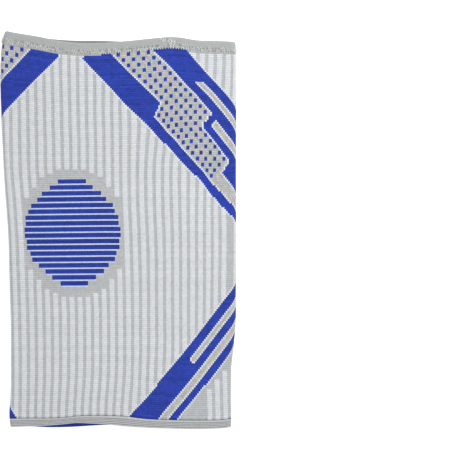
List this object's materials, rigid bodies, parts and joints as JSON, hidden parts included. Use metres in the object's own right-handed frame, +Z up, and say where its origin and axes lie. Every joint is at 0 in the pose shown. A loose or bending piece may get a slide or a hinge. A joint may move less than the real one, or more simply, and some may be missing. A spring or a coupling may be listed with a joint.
{
  "type": "knee compression sleeve",
  "caption": "Seamless knitted knee sleeve lying flat: a ribbed hollow tube, tapered to the calf, with a folded welt at each open end and a smooth oval over the kneecap.",
  "frame": {"origin": "bottom centre of the sleeve's box, on the surface that it lies on", "axes": "+Y along the sleeve towards the thigh end, +X to the right of the upper layer, +Z up from the surface"},
  "size_m": [0.1626, 0.275, 0.015],
  "materials": {
    "knit": "jacquard rib knit in white, grey and royal blue elastic yarn, matt with a faint sheen",
    "thigh_welt": "grey elastic knit, folded double",
    "calf_welt": "grey elastic knit in heavy cross courses"
  },
  "bodies": {
    "root": {"knit_tube": "knit", "thigh_welt": "thigh_welt", "calf_welt": "calf_welt"}
  },
  "joints": []
}
